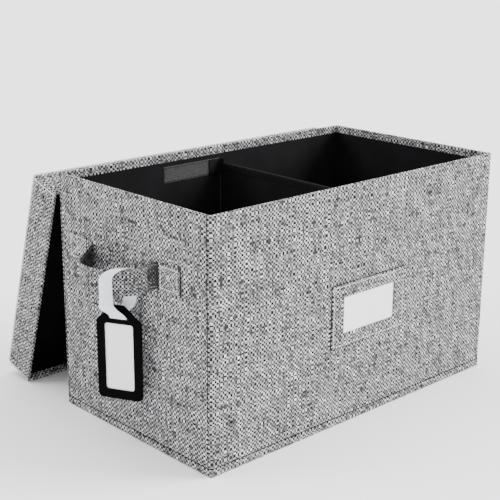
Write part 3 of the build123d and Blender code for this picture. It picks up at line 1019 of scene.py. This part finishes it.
def strapStations(end, half):
    # one half of a strap: end -1 is the left wall, half -1 the front
    plan, rise = strapLines()
    line = resample(plan, strap["step"])
    line = line[line[:, 0] <= 1e-6] if half < 0 else line[line[:, 0] >= -1e-6]
    tangent = unit(np.gradient(line, axis=0))
    height = np.interp(line[:, 0], rise[:, 0], rise[:, 1])
    stations = []
    for (y, out), (ty, tout), lift in zip(line, tangent, height):
        origin = np.array([end * (case["half"][0] + out), strap["y"] + y, strap["z"] + lift])
        stations.append((origin, np.array([0, 0, 1.0]), np.array([end * ty, -tout, 0])))
    return stations


def paintFoldShade(piece, stations, section):
    # painted shade: the cloth is darker in the fold before each front tab and on the side that faces the
    # wall
    start, full, least = strap["fold"]
    shades = []
    for station in stations:
        along = strap["y"] - station[0][1]
        fold = ease((along - start) / (full - start)) * (along < full + 3 * mm)
        for through in section[:, 1]:
            inner = 1 if through > 0 else strap["inside"]
            shades.append(inner * (1 - (1 - least) * fold))
    shade = piece.data.attributes.new(strapWeave["folds"], "FLOAT", "POINT")
    shade.data.foreach_set("value", shades)


def strapHalf(end, half):
    wall = "left" if end < 0 else "right"
    name = wall + ("_strap_front" if half < 0 else "_strap_back")
    stations, section = strapStations(end, half), strapSection()
    piece = sweptPiece(name, stations, section, strapLinen)
    paintFoldShade(piece, stations, section)
    seams = strap["height"] / 2 - strap["seamIn"]
    reach = strap["thickness"] / 2 - strap["groove"][0] + 0.1 * mm
    outer = strap["thickness"] / 2 + 0.05 * mm
    sewn = strap["sewn"][0 if half < 0 else 1]
    tip = strap["span"] + (strap["tab"] if half < 0 else strap["back"]["tab"])

    def nearest(run):
        return min(stations, key=lambda station: abs(abs(station[0][1] - strap["y"]) - run))

    lines = [np.array([o + a * row + b * face * reach for o, a, b in stations[1:-1]])
             for row in (-seams, seams) for face in (-1, 1)]
    edges = sewRows(name + "_edge_stitches", lines, sewingThread)
    corner = {}
    for i, run in enumerate((sewn + strap["box"][0], tip - strap["box"][1])):
        o, a, b = nearest(run)
        for r in (-1, 1):
            corner[i, r] = o + a * r * seams + b * outer
    crosses = [((0, -1), (0, 1)), ((1, -1), (1, 1)), ((0, -1), (1, 1)),
               ((0, 1), (1, -1)), ((0, -1), (1, -1)), ((0, 1), (1, 1))]
    lines = [np.array([corner[a], corner[b]]) for a, b in crosses]
    box = sewRows(name + "_box_stitches", lines, whiteThread, dict(seamStitch, Thickness=strap["boxThread"]))
    # charcoal bar tacks across the inner row and the tip: stitching, and painted shadow where the strap
    # folds at its ends
    lines = []
    for run, lift in ((sewn, outer), (tip, 0)):
        o, a, b = nearest(run)
        across = a * (strap["height"] / 2 - 0.5 * mm)
        lines.append(np.array([o + b * lift - across, o + b * lift + across]))
    tacks = sewRows(name + "_end_tacks_and_shadow", lines, darkThread, seamAndShadowStitch)
    for item in (piece, edges, box, tacks):
        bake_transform(item)
    replaced = [wall + "_front_tab"] if half < 0 else [wall + "_back_tab", wall + "_grip"]
    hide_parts(*replaced)


for end in (-1, 1):
    for half in (-1, 1):
        strapHalf(end, half)
print("straps")

tag = {
    "hangY": -15.5 * mm, "hangZ": 198 * mm, "hangOut": 1.5 * mm, "yaw": 28, "width": 68 * mm,
    "drop": 122.5 * mm, "thickness": 3 * mm, "corner": 8 * mm, "shoulder": -7.5 * mm,
    "crown": (8 * mm, 16.8 * mm),
    "soften": 3 * mm, "slot": (13 * mm, 4.5 * mm), "slotTop": -0.2 * mm, "slotCorner": 1.4 * mm,
    "window": (42.5 * mm, 97.5 * mm), "windowDrop": 10.7 * mm, "windowCorner": 3.5 * mm,
    "pocket": 1.2 * mm, "overlap": 4 * mm, "play": 0.3 * mm,
    "bevel": (0.45 * mm, 0.4 * mm),  # of the front and the back plate
    "step": 0.3 * mm,  # how far the rim between the plates stays in from their edge
}
ribbon = {
    "width": 18 * mm, "thickness": 0.9 * mm, "edge": 0.4 * mm,
    "half": (10.5 * mm, 10 * mm), "foot": 2.7 * mm, "rise": (21 * mm, 22 * mm), "skew": 1.52,
    "crown": (12 * mm, 6 * mm), "bend": (9 * mm, 12 * mm), "turn": 2.2 * mm,
    "low": 2.5 * mm, "high": 0.9 * mm,  # how far it goes under the hanging point and over the strap
    "aside": (2 * mm, 14 * mm),  # from where, and over what height, it turns from the tag to the strap
    "across": (4 * mm, 26 * mm),  # and its width does
    "flare": (12 * mm, 16 * mm),  # and the spread at its foot ends
    "spread": 0.4,  # how much wider it lies across the slot
}


def sideways(degrees):
    # level directions for a thing turned so many degrees on the left wall: along it and out from it
    turn = math.radians(degrees)
    return np.array([-math.sin(turn), math.cos(turn), 0]), np.array([-math.cos(turn), -math.sin(turn), 0])


def hangPoint():
    slope = math.radians(strap["slope"])
    foot = strap["span"] - strap["bend"] * math.tan(slope / 2)
    out = tag["hangOut"] + (tag["hangY"] - strap["y"] + foot) * math.tan(slope)
    return np.array([-case["half"][0] - out, tag["hangY"], tag["hangZ"]])


def tagMatrix():
    along, face = sideways(tag["yaw"])
    turn = Matrix((-along, (0, 0, 1), face)).transposed().to_4x4()
    return Matrix.Translation(Vector(hangPoint())) @ turn


def ribbonLoop():
    along, outward = sideways(strap["slope"])
    tagAlong, tagFace = sideways(tag["yaw"])
    low = tag["hangZ"] - ribbon["low"]
    high = strap["z"] - strap["sag"] + strap["height"] / 2 + ribbon["high"]
    foot, runs, bends = ribbon["foot"], [], []
    flanks = zip((1, -1), *[ribbon[key] for key in ("half", "rise", "bend", "crown")])
    for side, half, rise, bend, crown in flanks:
        runs.append([(side * foot, low), (side * half, low + rise), (side * half, high)][::side])
        bends.append([ribbon["turn"], bend, crown][::side])
    outline = roundedLine(runs[0] + runs[1], bends[0] + bends[1], closed=True, step=12)
    outline = resample(closeLine(outline), 1.6 * mm)[:-1]
    aside, across, flare = [ease((outline[:, 1] - low - start) / rise)[:, None]
                            for start, rise in (ribbon[k] for k in ("aside", "across", "flare"))]
    # square to the tag in its slot, spread along the strap higher up
    spot = hangPoint() * [1, 1, 0]
    lean = tagFace * (1 - aside) + (outward + ribbon["skew"] * along) * aside
    origins = spot + outline[:, :1] * lean + outline[:, 1:] * [0, 0, 1]
    tangent = unit(np.roll(origins, -1, axis=0) - np.roll(origins, 1, axis=0))
    wide = (1 - flare) * ease(0.5 + outline[:, :1] / (2 * foot))
    across = unit(tagAlong * (1 - across) + along * across) * (1 + ribbon["spread"] * wide)
    through = unit(np.cross(tangent, across))
    w, t = ribbon["width"] / 2, ribbon["thickness"] / 2
    section = rectangle(-w, w, -t, t, ribbon["edge"], step=45)
    piece = sweptPiece("tag_ribbon", list(zip(origins, across, through)), section, ribbonSatin, loop=True)
    dress(piece, "left_handle", ["tag_loop"])


ribbonLoop()


def plate(name, outlines, low, high, bevel, material):
    # a flat moulding with softened edges: closed outlines, the later ones as holes
    curve = bpy.data.curves.new(name, "CURVE")
    curve.dimensions = "2D"
    curve.fill_mode = "BOTH"
    curve.extrude = (high - low) / 2 - bevel
    curve.bevel_depth = bevel
    curve.bevel_resolution = 2
    curve.offset = -bevel
    for outline in outlines:
        spline = curve.splines.new("POLY")
        spline.points.add(len(outline) - 1)
        for point, (x, y) in zip(spline.points, outline):
            point.co = (x, y, 0, 1)
        spline.use_cyclic_u = True
    shape = addObject(name, curve)
    bpy.context.view_layer.update()
    mesh = bpy.data.meshes.new_from_object(shape.evaluated_get(bpy.context.evaluated_depsgraph_get()))
    bpy.data.objects.remove(shape)
    mesh.transform(Matrix.Translation((0, 0, middle(low, high))))
    mesh.materials.clear()
    mesh.materials.append(material)
    piece = weld(addObject(name, mesh), 0.005 * mm)
    return reshape(piece, lambda shell: bmesh.ops.recalc_face_normals(shell, faces=shell.faces))


def tagShell():
    half, t, inwards = tag["width"] / 2, tag["thickness"] / 2, tag["step"]
    side = [(half, -tag["drop"]), (half, tag["shoulder"]), tag["crown"]]
    outline = side + [(-x, y) for x, y in side[::-1]]
    rounding = [tag["corner"]] + [tag["soften"]] * 4 + [tag["corner"]]
    body = roundedLine(outline, rounding, closed=True)
    slot = rectangle(-tag["slot"][0], tag["slot"][0], -tag["slot"][1], tag["slotTop"], tag["slotCorner"])
    wide, tall = tag["window"]
    centre = -tag["windowDrop"] - tall / 2
    window = rectangle(-wide / 2, wide / 2, centre - tall / 2, centre + tall / 2, tag["windowCorner"])
    gap, reach = tag["pocket"] / 2, wide / 2 + tag["overlap"] + tag["play"]
    pocketHalf = tall / 2 + tag["overlap"] + tag["play"]
    pocketLow, pocketHigh = centre - pocketHalf, centre + pocketHalf
    inset = roundedLine([(x * (1 - inwards / half), y * (1 - inwards / tag["drop"])) for x, y in outline],
                        rounding, closed=True)
    # the card's pocket is open on one side, so it cuts into the rim's outline there
    kept = [(x, y) for x, y in inset if not (x < 0 and pocketLow < y < pocketHigh)]
    cut = next(i for i, (x, y) in enumerate(kept) if x < 0 and y <= pocketLow)
    left = min(x for x, y in inset)
    kept[cut:cut] = [(left, pocketHigh), (reach, pocketHigh), (reach, pocketLow), (left, pocketLow)]
    front = plate("tag_front", [body, slot, window], gap, t, tag["bevel"][0], blackPlastic)
    back = plate("tag_back", [body, slot], -t, -gap, tag["bevel"][1], blackPlastic)
    rim = plate("tag_rim", [kept, slot], -gap, gap, 0.0, blackPlastic)
    shell = joinPieces("tag_shell", [front, rim, back])
    dress(place(shell, tagMatrix()), "tag", ["tag_frame"])


tagShell()
print("ribbon and tag")

patchLow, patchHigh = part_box("label_patch")
label = {
    "window": (110 * mm, 55 * mm), "fold": 1.0 * mm, "corner": 2.5 * mm, "lip": 1.3 * mm,
    "seam": 3.2 * mm,  # from the patch's edge
    "seamPull": (0.3 * mm, 0.7 * mm),  # how deep and how wide it pulls in
    "seamThread": 1.0 * mm, "relief": (0.12 * mm, 30 * mm),
}


def labelPatch():
    centre = middle(patchLow, patchHigh)
    half = np.array([patchHigh.x - patchLow.x, patchHigh.z - patchLow.z]) / 2
    hole = np.array(label["window"]) / 2
    path = ringPath(half, label["corner"], 4 * mm)[0]
    wallY, faceY = patchHigh.y, patchLow.y + 0.1 * mm
    r, lip = label["fold"], label["lip"]
    pull, pullWidth = label["seamPull"]
    turn = np.radians(np.linspace(0, 90, 5))
    # rings from the wall over the folded edge and the seam to the window's lip: share of the outline, and y
    rings = [(1.0, wallY - 0.1 * mm)]
    rings += [((half - r * (1 - math.cos(t))) / half, faceY + r * (1 - math.sin(t))) for t in turn]
    rings += [((half - d) / half, faceY + pull * bell(d - label["seam"], pullWidth))
              for d in np.array([1.8, 2.4, 2.9, 3.3, 3.9, 4.6, 6.5]) * mm]
    rings += [((half - (half - hole) * share) / half, faceY) for share in (0.4, 0.6, 0.8, 0.92)]
    rings += [((hole + lip * (1 - math.cos(t)) * 0.8) / half, faceY + lip * 0.6 * (1 - math.sin(t)))
              for t in turn[::-1]]
    relief, wave = label["relief"]
    grid = np.zeros((len(rings), len(path), 3))
    for i, (share, y) in enumerate(rings):
        flat = path * share
        grid[i, :, 0] = centre.x + flat[:, 0]
        grid[i, :, 1] = y + relief * ripple(flat[:, 0], flat[:, 1], wave, 81) * (i > 3)
        grid[i, :, 2] = centre.z + flat[:, 1]
    uvs = np.concatenate([grid[:, :, [0, 2]], grid[:, :1][:, :, [0, 2]]], axis=1) + [1.7, 0.45]
    patch = gridPiece("label_patch_linen", grid, uvs, linen, around=True)
    dress(thicken(patch, case["cloth"]), "case", ["label_patch"])

    def rowRound(size, y):
        row = path * size / half
        row = np.column_stack([centre.x + row[:, 0], np.full(len(row), y), centre.z + row[:, 1]])
        return closeLine(row)

    seam = sewRows("label_stitches", [rowRound(half - label["seam"], faceY)], whiteThread,
                   dict(seamStitch, Thickness=label["seamThread"]))
    dress(seam, "case")
    # charcoal thread round the patch's edge: stitching, and painted shadow under the raised edge
    edge = sewRows("label_edge_seam_and_shadow", [rowRound(half + 0.3 * mm, wallY - 0.4 * mm)], darkThread, seamAndShadowStitch)
    dress(edge, "case")


labelPatch()
print("label holder")

# built with its rim up, then turned over and leant on the back of the case
lid = dict(case, half=(306 * mm, 176 * mm), height=60 * mm, panelTurn=2.2 * mm,
           panelSwell=(0.3 * mm, 160 * mm, 30 * mm),  # its relief, the wave, and the run from the edge
           seam=3.4 * mm, lean=17.5, gap=0.3 * mm)


def lidMatrix():
    lean, tall = math.radians(lid["lean"]), lid["half"][1]
    spot = (0, case["half"][1] + lid["gap"] + tall * math.sin(lean), tall * math.cos(lean))
    leant = Matrix.Translation(spot) @ Matrix.Rotation(math.radians(lid["lean"] - 90), 4, "X")
    return leant @ Matrix.Translation((0, 0, lid["height"])) @ Matrix.Rotation(math.pi, 4, "X")


def lidPanel():
    path, normals = ringPath(lid["half"], lid["corner"], 10 * mm)
    r, tuck = lid["panelTurn"], lid["tuck"]
    depth, wave, reach = lid["panelSwell"]
    turn = np.radians(np.linspace(0, 90, 6))
    profile = [(tuck, lid["seam"]), (0.3 * tuck, lid["seam"] - 0.5 * mm)]
    profile += [(r * (1 - math.cos(t)), r * (1 - math.sin(t))) for t in turn]
    rows, base = [], path - normals * r
    for inset, z in profile:
        rows.append(np.column_stack([path - normals * inset, np.full(len(path), z)]))
    edge = np.array(lid["half"]) - r
    for ring in np.concatenate([[1.5 * mm, 4 * mm, 9 * mm], np.linspace(18 * mm, edge[1], 12)]):
        flat = np.clip(base, -(edge - ring), edge - ring)
        swell = -depth * ripple(flat[:, 0], flat[:, 1], wave, 91) * ease(ring / reach)
        rows.append(np.column_stack([flat, np.maximum(swell, 0)]))
    points = np.array(rows)
    uvs = np.concatenate([points[:, :, :2], points[:, :1, :2]], axis=1) + [0.2, 0.6]
    panel = weld(gridPiece("lid_panel_linen", points, uvs, linen, flip=True, around=True), 0.02 * mm)
    return thicken(panel, lid["cloth"])


def lidPieces():
    turned = {"front": "back", "back": "front", "left": "left", "right": "right"}
    pieces, linings = [(lidPanel(), "linen", ["lid_panel_cover"])], []
    liningTop = lid["height"] - lid["hem"]
    for seed, (side, shown) in enumerate(turned.items()):
        skirt = wallPanel(f"lid_{shown}_linen", side, lid, lid["seam"], 101 + seed, linen)
        pieces.append((skirt, "linen", [f"lid_{shown}_cover"]))
        linings.append(liningPanel(f"lid_{side}_part", side, lid, lid["wall"], liningTop, 111 + seed))
    # the lid's charcoal seams: stitching, and painted shadow in the seams
    seams = [cornerSeams("lid_corner_part", lid, lid["seam"], lid["height"] - lid["rimRound"]),
             ringSeam("lid_ring_part", lid, lid["seam"], -0.3 * mm, 143)]
    inner = (lid["half"][0] - lid["wall"], lid["half"][1] - lid["wall"])
    tray = flatSheet("lid_tray_part", inner, 1 * mm, lid["wall"] + 0.1 * mm, False, 0.4 * mm, 117,
                     blackLining)
    linings.append(thicken(tray, lining["thickness"]))
    pieces.append((joinPieces("lid_seams_and_shadows", seams), "black_lining", []))
    pieces.append((joinPieces("lid_black_lining", linings), "black_lining", ["lid_lining"]))
    for piece, slot, replaced in pieces:
        dress(place(piece, lidMatrix()), "lid", replaced)


lidPieces()
print("lid")

# where the viewer stands in metres, how they look in degrees, and the lens and sensor in mm
eye = {"place": (-1.18816, -1.19712, 0.72256), "yaw": -42.999, "pitch": 16.470, "roll": 0.3134,
       "lens": 80.636, "sensor": 36, "far": 100}


def makeCamera():
    yaw, pitch, roll = (math.radians(eye[k]) for k in ("yaw", "pitch", "roll"))
    back = Vector((math.sin(yaw) * math.cos(pitch), -math.cos(yaw) * math.cos(pitch), math.sin(pitch)))
    level = Vector((0, 0, 1)).cross(back).normalized()
    upright = back.cross(level)
    right = level * math.cos(roll) + upright * math.sin(roll)
    up = upright * math.cos(roll) - level * math.sin(roll)
    data = bpy.data.cameras.new("camera")
    data.sensor_width = eye["sensor"]
    data.lens = eye["lens"]
    data.clip_end = eye["far"]
    camera = addObject("camera", data)
    camera.matrix_world = Matrix.Translation(eye["place"]) @ Matrix((right, up, back)).transposed().to_4x4()
    bpy.context.scene.camera = camera


makeCamera()

lights = {  # name: (direction that it comes from, strength in W/m2, how wide it is in degrees)
    "right": ((0.80, -0.56, 0.55), 5.8, 35),
    "back_left": ((-0.75, 0.62, 0.60), 1.6, 30),
    "top": ((0.1, 0.1, 1.0), 2.8, 60),
}
studio = {"colour": "#f4f5f7", "strength": 1.3, "floor": 40}  # the floor's half width in metres


def makeStudio():
    for name, (direction, watts, width) in lights.items():
        data = bpy.data.lights.new(name, "SUN")
        data.angle = math.radians(width)
        data.energy = watts
        lamp = addObject(name, data)
        lamp.rotation_euler = Vector(direction).to_track_quat("Z", "Y").to_euler()
    world = bpy.data.worlds.new("studio")
    world.use_nodes = True
    sky = world.node_tree.nodes["Background"].inputs
    sky["Color"].default_value = hexColor(studio["colour"])
    sky["Strength"].default_value = studio["strength"]
    bpy.context.scene.world = world
    half = studio["floor"]
    mesh = bpy.data.meshes.new("floor")
    corners = [(-half, -half, 0), (half, -half, 0), (half, half, 0), (-half, half, 0)]
    mesh.from_pydata(corners, [], [(0, 1, 2, 3)])
    # matt painted board: nearly white and even
    mesh.materials.append(grainMaterial("floor_matt_white", {"Roughness": 0.9}, ("#f2f2f2", "#f6f6f6"),
                                        333 * mm, 0.0))
    addObject("floor", mesh)


makeStudio()
print("stage")

# nodes that keep their own shape
cadFinishes = {"board": greyBoard, "window": clearFilm, "card": cardStock}
for nodeName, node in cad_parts.items():
    finish = cadFinishes.get(nodeName.split("_")[-1])
    if finish:
        node.data.materials.clear()
        node.data.materials.append(finish)
